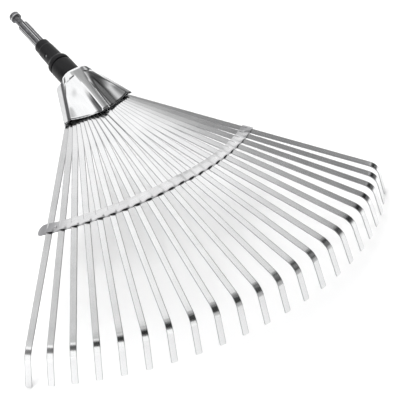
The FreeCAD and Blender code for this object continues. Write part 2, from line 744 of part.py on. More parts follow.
def main():
    make_tang()
    make_sleeve()
    make_collar_ring()
    make_cross_pin()
    make_washer_and_nut()
    make_hood_shell("HoodTop", TOP_PROFILE, "hood_top_shell", -2, False)
    make_hood_shell("HoodBottom", BOTTOM_PROFILE, "hood_bottom_shell", +2, True)
    make_root_clamp()
    for number in range(1, TINE_COUNT + 1):
        make_tine(number)
    make_brace()
    doc.recompute()
    check_document()
    os.makedirs("parts", exist_ok=True)
    for obj in SUB_PARTS:
        obj.Shape.exportStep(os.path.join("parts", obj.Label + ".step"))
        print("%-20s %10.1f mm3" % (obj.Label, obj.Shape.Volume))


def check_document():
    """Stop before anything is written if a feature failed or a sub-part is unsound."""
    for obj in doc.Objects:
        if "Invalid" in obj.State or "Error" in obj.State:
            raise RuntimeError("%s did not compute: %s" % (obj.Name, obj.State))
    for obj in SUB_PARTS:
        if obj.Shape.isNull() or not obj.Shape.isValid():
            raise RuntimeError("%s has no sound shape" % obj.Label)


main()
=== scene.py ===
"""Looks of a leaf rake head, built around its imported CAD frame.

Lengths of the rake are millimetres until a mesh is made; the studio and the joint's two ends are
in metres. The row frame has +Y along the tang and +Z out of the hood's ribbed side.
"""
import math

import bmesh
import bpy
from mathutils import Matrix, Vector


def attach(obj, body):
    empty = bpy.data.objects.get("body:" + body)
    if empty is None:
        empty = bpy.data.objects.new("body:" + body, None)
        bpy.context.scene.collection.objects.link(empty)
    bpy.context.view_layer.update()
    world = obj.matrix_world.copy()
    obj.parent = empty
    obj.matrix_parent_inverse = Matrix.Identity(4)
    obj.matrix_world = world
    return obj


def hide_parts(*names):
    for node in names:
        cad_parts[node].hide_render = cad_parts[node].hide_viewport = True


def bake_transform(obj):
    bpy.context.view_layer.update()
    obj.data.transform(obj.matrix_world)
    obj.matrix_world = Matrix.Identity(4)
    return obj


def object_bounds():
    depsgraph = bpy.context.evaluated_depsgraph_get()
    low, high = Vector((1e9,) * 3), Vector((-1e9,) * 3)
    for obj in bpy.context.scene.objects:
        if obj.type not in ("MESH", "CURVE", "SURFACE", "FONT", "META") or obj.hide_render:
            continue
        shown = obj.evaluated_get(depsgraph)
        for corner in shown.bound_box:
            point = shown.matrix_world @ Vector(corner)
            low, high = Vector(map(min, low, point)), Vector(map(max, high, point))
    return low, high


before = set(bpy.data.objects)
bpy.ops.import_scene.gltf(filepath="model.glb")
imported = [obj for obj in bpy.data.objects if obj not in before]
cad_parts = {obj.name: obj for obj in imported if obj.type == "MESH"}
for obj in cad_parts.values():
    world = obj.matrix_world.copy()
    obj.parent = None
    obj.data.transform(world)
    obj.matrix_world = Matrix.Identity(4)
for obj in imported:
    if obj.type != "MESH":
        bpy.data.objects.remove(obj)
cad_low, cad_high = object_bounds()
MM = 0.001


# ---------------------------------------------------------------- camera and studio

CAMERA_PLACE = (-0.6462, -1.2689, 1.2668)
CAMERA_LENS, CAMERA_SENSOR = 138.06, 36.0
CAMERA_HEADING, CAMERA_DOWN, CAMERA_ROLL = -34.82, 47.71, -0.233     # degrees


def make_camera():
    """Long lens high over the left front of the fan."""
    data = bpy.data.cameras.new("camera")
    data.sensor_width = CAMERA_SENSOR
    data.lens = CAMERA_LENS
    data.clip_end = 20.0
    camera = bpy.data.objects.new("camera", data)
    bpy.context.collection.objects.link(camera)
    turn = Matrix.Rotation(math.radians(CAMERA_HEADING), 4, "Z")
    tilt = Matrix.Rotation(math.radians(90 - CAMERA_DOWN), 4, "X")
    roll = Matrix.Rotation(math.radians(CAMERA_ROLL), 4, "Z")
    camera.matrix_world = Matrix.Translation(CAMERA_PLACE) @ turn @ tilt @ roll
    bpy.context.scene.camera = camera


def add_area(name, place, aim, size, power):
    """A soft lamp that lights dull surfaces; polished ones mirror only the world."""
    data = bpy.data.lights.new(name, "AREA")
    data.shape = "RECTANGLE"
    data.size, data.size_y = size
    data.energy = power
    lamp = bpy.data.objects.new(name, data)
    bpy.context.collection.objects.link(lamp)
    lamp.location = place
    lamp.rotation_euler = (Vector(aim) - Vector(place)).to_track_quat("-Z", "Y").to_euler()
    lamp.visible_glossy = False


# Direction, cosine at the patch's edge and in its middle, share of light taken away there
# (below 0 gives light back inside a darker patch).
WORLD_PATCHES = (
    ((0.70, 0.20, 0.68), 0.880, 0.945, 0.78),
    ((0.90, 0.36, 0.25), 0.930, 0.980, 0.85),
    ((0.757, 0.30, 0.557), 0.972, 0.994, -2.0),
    ((-0.32, -0.32, 0.89), 0.910, 0.960, 0.80),
    ((0.05, -0.50, 0.86), 0.890, 0.950, 0.80),
    ((0.40, -0.35, 0.85), 0.800, 0.900, 0.80),
    ((0.45, -0.80, 0.40), 0.880, 0.950, 0.60),
    ((0.90, -0.10, 0.42), 0.880, 0.960, 0.88),
    ((-0.85, 0.50, 0.20), 0.850, 0.960, 0.90),
    ((0.22, 0.33, 0.91), 0.975, 0.992, 0.50),
)
WORLD_STRENGTH = 1.06


def multiply_node(nodes, links, first, second):
    """first * second, both the outputs of other nodes."""
    node = nodes.new("ShaderNodeMath")
    node.operation = "MULTIPLY"
    links.new(first, node.inputs[0])
    links.new(second, node.inputs[1])
    return node.outputs["Value"]


def make_world():
    """A white room with soft dark patches, which give polished metal its contrast."""
    world = bpy.data.worlds.new("studio")
    bpy.context.scene.world = world
    world.use_nodes = True
    nodes, links = world.node_tree.nodes, world.node_tree.links
    nodes.clear()
    coord = nodes.new("ShaderNodeTexCoord")
    shade = None
    for direction, inner, full, depth in WORLD_PATCHES:
        dot = nodes.new("ShaderNodeVectorMath")
        dot.operation = "DOT_PRODUCT"
        dot.inputs[1].default_value = Vector(direction).normalized()
        links.new(coord.outputs["Generated"], dot.inputs[0])
        ramp = nodes.new("ShaderNodeMapRange")
        ramp.interpolation_type = "SMOOTHSTEP"
        ramp.inputs["From Min"].default_value = inner
        ramp.inputs["From Max"].default_value = full
        ramp.inputs["To Min"].default_value = 1.0
        ramp.inputs["To Max"].default_value = 1.0 - depth
        links.new(dot.outputs["Value"], ramp.inputs["Value"])
        left = ramp.outputs["Result"]
        shade = multiply_node(nodes, links, shade, left) if shade else left
    background = nodes.new("ShaderNodeBackground")
    background.inputs["Strength"].default_value = WORLD_STRENGTH
    output = nodes.new("ShaderNodeOutputWorld")
    links.new(shade, background.inputs["Color"])
    links.new(background.outputs["Background"], output.inputs["Surface"])


# ---------------------------------------------------------------- node materials

def new_material(name):
    """A node material: itself, its nodes, its links and its shader."""
    material = bpy.data.materials.new(name)
    material.use_nodes = True
    nodes, links = material.node_tree.nodes, material.node_tree.links
    return material, nodes, links, nodes["Principled BSDF"]


def noise_node(nodes, links, source, scale, detail=3.0, stretch=None):
    """Noise over a coordinate output, drawn out along an axis if stretch is given."""
    if stretch:
        mapping = nodes.new("ShaderNodeMapping")
        mapping.inputs["Scale"].default_value = stretch
        links.new(source, mapping.inputs["Vector"])
        source = mapping.outputs["Vector"]
    node = nodes.new("ShaderNodeTexNoise")
    node.inputs["Scale"].default_value = scale
    node.inputs["Detail"].default_value = detail
    links.new(source, node.inputs["Vector"])
    return node.outputs["Fac"]


def ramp_node(nodes, links, value, low, high, low_colour, high_colour):
    """Colour that runs from one to the other as value goes from low to high."""
    node = nodes.new("ShaderNodeValToRGB")
    node.color_ramp.elements[0].position = low
    node.color_ramp.elements[1].position = high
    node.color_ramp.elements[0].color = (*low_colour, 1.0)
    node.color_ramp.elements[1].color = (*high_colour, 1.0)
    links.new(value, node.inputs["Fac"])
    return node.outputs["Color"]


def span_node(nodes, links, value, low, high):
    """A 0 to 1 value spread over low to high."""
    node = nodes.new("ShaderNodeMapRange")
    node.inputs["To Min"].default_value = low
    node.inputs["To Max"].default_value = high
    links.new(value, node.inputs["Value"])
    return node.outputs["Result"]


def bump_node(nodes, links, value, strength, distance, before=None):
    """Bump from a height, on top of an earlier bump if one is given."""
    node = nodes.new("ShaderNodeBump")
    node.inputs["Strength"].default_value = strength
    node.inputs["Distance"].default_value = distance
    links.new(value, node.inputs["Height"])
    if before is not None:
        links.new(before, node.inputs["Normal"])
    return node.outputs["Normal"]


def attribute_node(nodes, name):
    """A number that the mesh holds at each vertex."""
    node = nodes.new("ShaderNodeAttribute")
    node.attribute_name = name
    return node.outputs["Fac"]


def mix_node(nodes, links, share, first, second):
    """Colour mix; second is a plain colour."""
    node = nodes.new("ShaderNodeMix")
    node.data_type = "RGBA"
    links.new(share, node.inputs["Factor"])
    links.new(first, node.inputs["A"])
    node.inputs["B"].default_value = (*second, 1.0)
    return node.outputs["Result"]


def add_node(nodes, links, first, second, share):
    """first + second * share."""
    node = nodes.new("ShaderNodeMath")
    node.operation = "MULTIPLY_ADD"
    node.inputs[1].default_value = share
    links.new(second, node.inputs[0])
    links.new(first, node.inputs[2])
    return node.outputs["Value"]


def rolled_steel(name, dark, light, rough_low, rough_high, use_uv=True):
    """Cold-rolled strip: long fine drawing lines, faint handling marks and dull patches."""
    material, nodes, links, shader = new_material(name)
    coord = nodes.new("ShaderNodeTexCoord")
    base = coord.outputs["UV" if use_uv else "Object"]
    stretch = (38.0, 0.35, 38.0) if use_uv else (9e3, 60, 9e3)
    lines = noise_node(nodes, links, base, 1.0, 4.0, stretch)
    marks = noise_node(nodes, links, coord.outputs["Object"], 42.0, 5.0)
    part = nodes.new("ShaderNodeMath")
    part.operation = "MULTIPLY"
    part.inputs[1].default_value = 0.55
    links.new(marks, part.inputs[0])
    both = add_node(nodes, links, part.outputs["Value"], lines, 0.45)
    face = ramp_node(nodes, links, both, 0.32, 0.68, dark, light)
    # Painted shade: a dark grey where the mesh marks it, along the tine edges and tip legs and at
    # the brace's ends and front edge.
    slit = attribute_node(nodes, "painted_light")
    links.new(mix_node(nodes, links, slit, face, (0.30, 0.30, 0.31)), shader.inputs["Base Color"])
    rough = span_node(nodes, links, both, rough_low, rough_high)
    links.new(add_node(nodes, links, rough, slit, 0.15), shader.inputs["Roughness"])
    links.new(bump_node(nodes, links, lines, 0.10, 0.00006), shader.inputs["Normal"])
    shader.inputs["Metallic"].default_value = 1.0
    return material


def bright_chrome():
    """Polished plate on pressed sheet: press waviness, wipe marks, and painted shade in the
    creases, which are also rougher.
    """
    material, nodes, links, shader = new_material("chrome_plate")
    coord = nodes.new("ShaderNodeTexCoord")
    waves = noise_node(nodes, links, coord.outputs["Object"], 26.0, 1.0)
    wipes = noise_node(nodes, links, coord.outputs["Object"], 220.0, 4.0, (1.0, 0.12, 1.0))
    painted_crease_shade = attribute_node(nodes, "painted_light")
    plate = ramp_node(nodes, links, wipes, 0.3, 0.75, (0.86, 0.865, 0.875), (0.95, 0.955, 0.96))
    # Painted shade: a near-black colour along the folds, the rib's flank and the step of the
    # dome.
    links.new(mix_node(nodes, links, painted_crease_shade, plate, (0.10, 0.10, 0.105)),
              shader.inputs["Base Color"])
    rough = span_node(nodes, links, wipes, 0.07, 0.15)
    links.new(add_node(nodes, links, rough, painted_crease_shade, 0.22), shader.inputs["Roughness"])
    fine = bump_node(nodes, links, wipes, 0.03, 0.00005)
    links.new(bump_node(nodes, links, waves, 0.06, 0.0012, fine), shader.inputs["Normal"])
    shader.inputs["Metallic"].default_value = 1.0
    return material


def cast_alloy():
    """Tumbled die casting: dull grey skin with fine speckle, and painted highlights where the
    mesh marks them.
    """
    material, nodes, links, shader = new_material("cast_alloy_skin")
    coord = nodes.new("ShaderNodeTexCoord")
    grain = nodes.new("ShaderNodeTexVoronoi")
    grain.inputs["Scale"].default_value = 1300.0
    links.new(coord.outputs["Object"], grain.inputs["Vector"])
    cloud = noise_node(nodes, links, coord.outputs["Object"], 300.0, 5.0)
    speckle = multiply_node(nodes, links, grain.outputs["Distance"], cloud)
    skin = ramp_node(nodes, links, speckle, 0.05, 0.42,
                     (0.03, 0.03, 0.032), (0.22, 0.22, 0.23))
    # Painted highlight: a near-white colour where the mesh marks it.
    painted_highlight = attribute_node(nodes, "painted_light")
    links.new(mix_node(nodes, links, painted_highlight, skin, (0.80, 0.80, 0.81)), shader.inputs["Base Color"])
    links.new(span_node(nodes, links, cloud, 0.24, 0.46), shader.inputs["Roughness"])
    links.new(bump_node(nodes, links, grain.outputs["Distance"], 0.35, 0.00018),
              shader.inputs["Normal"])
    shader.inputs["Metallic"].default_value = 0.85
    return material


def black_plastic():
    """Moulded handle plastic: fine spark texture, slightly rubbed and glossier in places."""
    material, nodes, links, shader = new_material("moulded_black")
    coord = nodes.new("ShaderNodeTexCoord")
    fine = noise_node(nodes, links, coord.outputs["Object"], 1500.0, 3.0)
    rub = noise_node(nodes, links, coord.outputs["Object"], 60.0, 4.0, (1.0, 0.4, 1.0))
    skin = ramp_node(nodes, links, rub, 0.35, 0.75,
                     (0.004, 0.004, 0.0045), (0.012, 0.012, 0.013))
    links.new(skin, shader.inputs["Base Color"])
    links.new(span_node(nodes, links, rub, 0.34, 0.55), shader.inputs["Roughness"])
    links.new(bump_node(nodes, links, fine, 0.25, 0.0001), shader.inputs["Normal"])
    shader.inputs["Specular IOR Level"].default_value = 0.22
    return material


def pale_floor():
    """Matt, nearly white ground with a very faint cloud in it."""
    material, nodes, links, shader = new_material("pale_floor")
    coord = nodes.new("ShaderNodeTexCoord")
    cloud = noise_node(nodes, links, coord.outputs["Object"], 3.0, 2.0)
    links.new(ramp_node(nodes, links, cloud, 0.3, 0.7, (0.96, 0.96, 0.96), (0.98, 0.98, 0.98)),
              shader.inputs["Base Color"])
    shader.inputs["Roughness"].default_value = 0.9
    shader.inputs["Specular IOR Level"].default_value = 0.1
    return material


# ---------------------------------------------------------------- mesh building

def loops_piece(name, loops, material, body, node, paired=False, sharp=32.0, bevel=0.0,
                painted_light=None):
    """A closed piece through equal rings of points, with UVs in centimetres of surface.

    paired rings are a top row and a bottom row run back, so that the ends close with quads.
    mark gives the attribute "mark" at (ring, place in the ring), which carries painted shade in
    creases and along edges, and painted highlights.
    """
    mesh_data = bmesh.new()
    uv = mesh_data.loops.layers.uv.new("UVMap")
    layer = mesh_data.verts.layers.float.new("painted_light")
    rings = [[mesh_data.verts.new(Vector(p) * MM) for p in ring] for ring in loops]
    if painted_light:
        for j, ring in enumerate(rings):
            for k, vert in enumerate(ring):
                vert[layer] = painted_light(j, k)
    count = len(loops[0])
    around = [0.0]
    middle = loops[len(loops) // 2]
    for k in range(count):
        around.append(around[-1] + (Vector(middle[(k + 1) % count]) - Vector(middle[k])).length)
    along = [0.0]
    for before, after in zip(loops, loops[1:]):
        step = sum((Vector(a) - Vector(b)).length for a, b in zip(before, after)) / count
        along.append(along[-1] + step)
    for j in range(len(rings) - 1):
        for k in range(count):
            n = (k + 1) % count
            corners = (rings[j][k], rings[j][n], rings[j + 1][n], rings[j + 1][k])
            face = mesh_data.faces.new(corners)
            spots = ((k, j), (k + 1, j), (k + 1, j + 1), (k, j + 1))
            for corner, (a, b) in zip(face.loops, spots):
                corner[uv].uv = (around[a] * 0.1, along[b] * 0.1)
    for ring in (rings[0], rings[-1]):
        if paired:
            for k in range(count // 2 - 1):
                far = count - 1 - k
                mesh_data.faces.new((ring[k], ring[k + 1], ring[far - 1], ring[far]))
        else:
            mesh_data.faces.new(ring)
    bmesh.ops.remove_doubles(mesh_data, verts=mesh_data.verts, dist=1e-7)
    bmesh.ops.recalc_face_normals(mesh_data, faces=mesh_data.faces)
    mesh = bpy.data.meshes.new(name)
    mesh_data.to_mesh(mesh)
    mesh_data.free()
    for polygon in mesh.polygons:
        polygon.use_smooth = True
    mesh.set_sharp_from_angle(angle=math.radians(sharp))
    piece = bpy.data.objects.new(name, mesh)
    bpy.context.collection.objects.link(piece)
    mesh.materials.append(material)
    if bevel:
        edge = piece.modifiers.new("soft_edges", "BEVEL")
        edge.width = bevel * MM
        edge.segments = 2
        edge.limit_method = "ANGLE"
        edge.angle_limit = math.radians(50)
    if body:
        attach(piece, body)
    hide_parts(node)
    return piece


def sheet_loops(grid, thick):
    """Rings of a sheet of even thickness whose middle surface is a grid of points."""
    rows, columns = len(grid), len(grid[0])
    points = [[Vector(p) for p in row] for row in grid]
    rings = []
    for j in range(rows):
        top, low = [], []
        for k in range(columns):
            ahead = points[min(j + 1, rows - 1)][k] - points[max(j - 1, 0)][k]
            across = points[j][min(k + 1, columns - 1)] - points[j][max(k - 1, 0)]
            normal = across.cross(ahead)
            normal = normal.normalized() if normal.length > 1e-9 else Vector((0, 0, 1))
            top.append(points[j][k] + normal * 0.5 * thick)
            low.append(points[j][k] - normal * 0.5 * thick)
        rings.append(top + low[::-1])
    return rings


def lathe_loops(profile, segments, shape=None):
    """Rings about the Y axis through (radius, y) points; shape alters a radius by angle."""
    rings = []
    for radius, y in profile:
        ring = []
        for k in range(segments):
            angle = 2 * math.pi * k / segments
            r = shape(radius, y, angle) if shape else radius
            ring.append((r * math.sin(angle), y, r * math.cos(angle)))
        rings.append(ring)
    return rings


def rounded(corners, steps=4):
    """A (radius, y) profile whose corners, given as (radius, y, round), are rounded."""
    result = []
    for k, (r, y, size) in enumerate(corners):
        here = Vector((r, y))
        if size == 0 or k in (0, len(corners) - 1):
            result.append((r, y))
            continue
        before = Vector(corners[k - 1][:2]) - here
        after = Vector(corners[k + 1][:2]) - here
        a = here + before.normalized() * min(size, 0.45 * before.length)
        b = here + after.normalized() * min(size, 0.45 * after.length)
        for s in range(steps + 1):
            t = s / steps
            p = a * (1 - t) ** 2 + here * 2 * t * (1 - t) + b * t * t
            result.append((p.x, p.y))
    return result


def smooth(low, high, value):
    """0 below low, 1 above high, with a soft S between."""
    t = min(max((value - low) / (high - low), 0.0), 1.0)
    return t * t * (3 - 2 * t)


def lerp(a, b, t):
    """a at 0, b at 1, and straight between."""
    return a + (b - a) * t


# ---------------------------------------------------------------- fan geometry

TINES = 22
PEAK_TINE = 12
PITCH = math.radians(3.842)
APEX = Vector((0.0, -80.0, 6.0))
TINE_WIDTH, TINE_THICK = 7.5, 1.0
ROOT_REACH, ROOT_DROP, ROOT_STEP, LEFT_STEP, RIGHT_STEP = 50.0, 1.5, 1.03, 0.3, 1.4
BEND_REACH, REACH_TAPER, FAN_CROWN = 377.0, 0.0876, 0.302
BEND_RADIUS, BEND_TURN, TIP_LEG, TIP_ROUND = 16.0, math.radians(66.5), 33.5, 1.6
EDGE_BAND = 0.9                     # width of the band of painted shade along each slit edge


def tine_angle(number):
    """Angle from the centre line; tine 1 is at -X."""
    return PITCH * (number - 0.5 * (TINES + 1))


def root_height(number):
    """Height of a root over the apex: the roots lap like shingles away from the peak tine."""
    steps = number - PEAK_TINE
    extra = LEFT_STEP if steps < 0 else RIGHT_STEP if steps > 0 else 0.0
    return -ROOT_DROP - ROOT_STEP * abs(steps) - extra


def bend_reach(angle):
    """Distance from the apex to the start of the bend."""
    return BEND_REACH * (1 - REACH_TAPER * angle * angle)


def bend_height(angle):
    """Height over the apex at the start of the bend, on the crowned surface."""
    return -FAN_CROWN * angle * angle * bend_reach(angle)


def blade_height(number, reach):
    """Height over the apex of a tine's middle plane at a distance from the apex."""
    angle = tine_angle(number)
    share = (reach - ROOT_REACH) / (bend_reach(angle) - ROOT_REACH)
    return lerp(root_height(number), bend_height(angle), share)


def fan_point(angle, reach, height):
    """A place in the row frame, from an angle, a distance and a height at the apex."""
    return APEX + Vector((reach * math.sin(angle), -reach * math.cos(angle), height))


def tine_section(width, thick):
    """Cross section of slit strip, its edges slightly rounded: (across, up) points."""
    w, t, r = 0.5 * width, 0.5 * thick, 0.32 * thick
    flats = 3
    top = [(lerp(-w + EDGE_BAND, w - EDGE_BAND, k / flats), t) for k in range(flats + 1)]
    top = [(-w + r, t)] + top + [(w - r, t)]
    right = [(w - 0.3 * r, t - 0.3 * r), (w, t - r), (w, -t + r), (w - 0.3 * r, -t + 0.3 * r)]
    low = [(x, -z) for x, z in reversed(top)]
    left = [(-x, z) for x, z in reversed(right)]
    return top + right + low + left


def make_tine(number, material):
    """Flat strip swept along a straight blade, a round bend and a tip leg with round corners."""
    angle = tine_angle(number)
    start = fan_point(angle, ROOT_REACH, root_height(number))
    end = fan_point(angle, bend_reach(angle), bend_height(angle))
    along = (end - start).normalized()
    across = Vector((math.cos(angle), math.sin(angle), 0.0))
    up = along.cross(across)
    length = (end - start).length
    blade_steps, bend_steps, leg_steps, corner_steps = 46, 14, 8, 5
    stations = [(start + along * length * k / blade_steps, up, 1.0) for k in range(blade_steps)]
    centre = end - up * BEND_RADIUS
    for k in range(bend_steps + 1):
        turn = BEND_TURN * k / bend_steps
        out = up * math.cos(turn) + along * math.sin(turn)
        ahead = along * math.cos(turn) - up * math.sin(turn)
        stations.append((centre + out * BEND_RADIUS, out, 1.0))
    base = stations[-1][0]
    straight = TIP_LEG - TIP_ROUND
    for k in range(1, leg_steps + 1):
        stations.append((base + ahead * straight * k / leg_steps, out, 1.0))
    for k in range(1, corner_steps + 1):
        t = k / corner_steps * math.pi / 2
        inset = TIP_ROUND * (1 - math.cos(t)) / (0.5 * TINE_WIDTH)
        stations.append((base + ahead * (straight + TIP_ROUND * math.sin(t)), out, 1 - inset))
    section = tine_section(TINE_WIDTH, TINE_THICK)
    loops = [[spot + across * x * narrow + lift * z for x, z in section]
             for spot, lift, narrow in stations]
    name = "tine_%02d" % number

    def slit(j, k):
        """Painted shade, on rougher metal, along the slit edges, and a little painted shade on
        the tip leg.
        """
        leg = 0.24 * smooth(blade_steps + bend_steps - 2, blade_steps + bend_steps + 1, j)
        return 0.85 if abs(section[k][0]) > 0.5 * TINE_WIDTH - 0.99 * EDGE_BAND else leg

    piece = loops_piece(name + "_strip", loops, material, None, name, painted_light=slit)
    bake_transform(piece)
    return piece


# ---------------------------------------------------------------- brace

BRACE_INNER, BRACE_OUTER, BRACE_TAPER, BRACE_THICK = 201.5, 214.5, 0.024, 0.8
BRACE_OVER = 13.7                   # length past the outermost tines' centre lines
END_FLAT = 0.14                     # share of the width that is left at the very end
END_DROOP, DROOP_RUN = 3.4, 9.0
UPPER_ARCH, LOWER_ARCH = 2.0, 0.75  # height of the humps that hold each tine
REAR_SHARE = 0.22                   # share of the upper arch at the strip's rear edge
HUMP_FLAT, HUMP_FOOT = 1.6, 6.6     # a hump's flat top and its foot, from the tine's middle
STRIP_LIFT = 0.45                   # from the tines' surface to a strip's middle surface


def brace_reach(angle, reach):
    """The brace bows a little outwards to its ends."""
    return reach * (1 + BRACE_TAPER * angle * angle)


def brace_level(angle, reach):
    """Height of the surface through the tines' middles, straight between tine and tine."""
    position = angle / PITCH + 0.5 * (TINES + 1)
    below = min(max(int(math.floor(position)), 1), TINES - 1)
    share = position - below
    return lerp(blade_height(below, reach), blade_height(below + 1, reach), share)


def hump(offset, flat, foot):
    """1 over the tine, 0 on the flats between two tines, with a soft S between them."""
    return 1 - smooth(flat, foot, abs(offset))


def make_brace_strip(side, material):
    """One strip of the brace: side +1 over the tines, -1 under them."""
    middle = 0.5 * (BRACE_INNER + BRACE_OUTER)
    half_width = 0.5 * (BRACE_OUTER - BRACE_INNER)
    first = tine_angle(1) - BRACE_OVER / middle
    last = tine_angle(TINES) + BRACE_OVER / middle
    per_pitch, across_steps = 18, 8
    total = int(round((last - first) / PITCH * per_pitch))
    grid = []
    for k in range(total + 1):
        angle = lerp(first, last, k / total)
        from_end = min(angle - first, last - angle) * middle
        left = max(half_width - from_end, 0.0) / half_width
        narrow = END_FLAT + (1 - END_FLAT) * math.sqrt(max(1 - left ** 2, 0.0))
        position = angle / PITCH + 0.5 * (TINES + 1)
        nearest = min(max(int(round(position)), 1), TINES)
        lift = hump((angle - tine_angle(nearest)) * middle, HUMP_FLAT, HUMP_FOOT)
        droop = END_DROOP * max(0.0, (DROOP_RUN - from_end) / DROOP_RUN) ** 2
        row = []
        for m in range(across_steps + 1):
            share = 2 * m / across_steps - 1
            reach = brace_reach(angle, middle + share * half_width * narrow)
            if side > 0:
                forward = lerp(REAR_SHARE, 1.0, smooth(-0.4, 1.0, share))
                rise = STRIP_LIFT + UPPER_ARCH * lift * forward
            else:
                rise = -STRIP_LIFT - LOWER_ARCH * lift
            level = brace_level(angle, reach)
            row.append(fan_point(angle, reach, level + rise - droop))
        grid.append(row)
    name, node = (("brace_top_strip", "brace_upper_strip") if side > 0
                  else ("brace_under_strip", "brace_lower_strip"))
    rings = sheet_loops(grid, BRACE_THICK)
    columns = across_steps + 1

    def ends(j, k):
        """Painted shade on rougher plate at the two ends of the strip, and a lighter share of it
        along its front edge.
        """
        from_end = min(j, total - j) / per_pitch
        column = k if k < columns else 2 * columns - 1 - k
        edge = 0.5 if column == columns - 1 else 0.0
        return max(edge, 0.95 * (1 - smooth(0.6, 3.2, from_end)))

    return loops_piece(name, rings, material, "fan", node, paired=True,
                       sharp=40.0, bevel=0.18, painted_light=ends)


# ---------------------------------------------------------------- hood

# v below runs from 0 at the hood's rear corner to 1 after HOOD_RUN. Each lip is a line of
# (x, distance ahead of the origin plane) points, from the middle outwards.
HOOD_REAR, HOOD_RUN, SHEET = 80.0, 70.0, 1.2
UPPER_LIP = ((0.0, 147.0), (5.2, 146.5), (40.0, 129.8), (62.0, 127.6))
LOWER_LIP = ((0.0, 142.0), (5.2, 141.5), (40.0, 125.2), (62.0, 123.0))
COLLAR_HOLE, SEAM_LEVEL = 12.6, 4.6
STEP_AT = 0.13                      # v where the dome steps down to the panels
DASH_FROM, DASH_TO = 7.5, 14.0      # the part of the step that gets a dash of painted shade
# The next three give the columns and rows of the upper shell that get painted shade.
FOLD_COLUMNS = (3, 12)              # from the side: the riser and its two rounded corners
RIB_COLUMNS = (26, 27, 28)          # the flank of the rib
STEP_ROWS = (9, 10)                 # either side of the step where the dome ends
RISER = 2.6
# Shares of the rib's half width and of its height, from its foot to its middle.
RIB_SHAPE = ((0.92, 0.16), (0.80, 0.62), (0.66, 0.92), (0.5, 1.0), (0.25, 1.03), (0.0, 1.04))
V_ROWS = (0.0, 0.02, 0.05, 0.085, 0.115, 0.126, 0.134, 0.145, 0.165, 0.20)


def bezier(a, b, c, steps):
    """Points of the curve from a to c that leans towards b."""
    points = []
    for s in range(steps + 1):
        t = s / steps
        points.append((lerp(lerp(a[0], b[0], t), lerp(b[0], c[0], t), t),
                       lerp(lerp(a[1], b[1], t), lerp(b[1], c[1], t), t)))
    return points


def top_half(v):
    """Right half of the upper shell's cross section at v, as (x, z) from side to middle."""
    low = Vector((lerp(26.4, 55.0, v), lerp(4.9, -8.2, v)))
    edge = Vector((lerp(18.0, 48.8, v), lerp(13.1, -4.8, v)))
    crest = lerp(22.4, 9.9, v)
    rib_side = 5.3
    rib_rise = 2.6 * smooth(0.14, 0.85, v)
    foot = crest - rib_rise
    before_step = lerp(1.0, 0.86, v / STEP_AT)
    after_step = 0.52 * (1 - smooth(STEP_AT, 0.55, v))
    dome = before_step if v < STEP_AT else after_step
    hollow = 2.1 * smooth(STEP_AT, 0.6, v)
    panel = []
    panel_steps = 15
    for k in range(panel_steps + 1):
        s = 1 - k / panel_steps
        x = rib_side + (edge.x - rib_side) * s
        inner = smooth(0.05, 0.35, s) if v >= STEP_AT else 1.0
        bulge = lerp(1 - s, math.sqrt(1 - s * s), dome)
        dip = hollow * math.sin(math.pi * s) * inner
        panel.append(Vector((x, edge.y + (foot - edge.y) * bulge - dip)))
    heel = edge + Vector((0.5, -RISER))
    corner = bezier(edge.lerp(heel, 0.45), edge, panel[1], 5)
    fold = bezier(heel.lerp(low, 0.22), heel, edge.lerp(heel, 0.6), 4)
    side = [low, low.lerp(heel, 0.4), low.lerp(heel, 0.62)]
    rib = [(rib_side * share, foot + rib_rise * rise) for share, rise in RIB_SHAPE]
    return [tuple(p) for p in side] + fold + corner + [tuple(p) for p in panel[2:]] + rib


def towards(a, b, distance):
    """The point at a distance from a on the way to b."""
    return tuple(Vector(a) + (Vector(b) - Vector(a)).normalized() * distance)


def bottom_half(v):
    """Right half of the lower shell's cross section: side wall, keel, floor and rib."""
    rim = (lerp(26.4, 55.0, v), lerp(3.7, -9.8, v))
    keel = (lerp(25.2, 55.6, v), lerp(-10.6, -17.0, v))
    belly = (lerp(13.0, 6.0, v), lerp(-14.6, -3.6, v))
    sole = (lerp(7.6, 2.8, v), lerp(-18.4, -5.0, v))
    points = [rim, towards(rim, keel, 3.0)]
    points += bezier(towards(keel, rim, 3.2), keel, towards(keel, belly, 3.6), 5)
    points += [tuple(Vector(keel).lerp(Vector(belly), t)) for t in (0.3, 0.5, 0.7)]
    points += bezier(towards(belly, keel, 1.6), belly, towards(belly, sole, 1.2), 3)
    points += bezier(towards(sole, belly, 1.2), sole, (0.5 * sole[0], sole[1]), 3)
    points.append((0.0, sole[1]))
    return points


def lip_at(lip, x):
    """Distance of the lip from the origin plane at x, along the hood."""
    x = abs(x)
    for (x0, y0), (x1, y1) in zip(lip, lip[1:]):
        if x <= x1:
            return lerp(y0, y1, (x - x0) / (x1 - x0))
    return lip[-1][1]


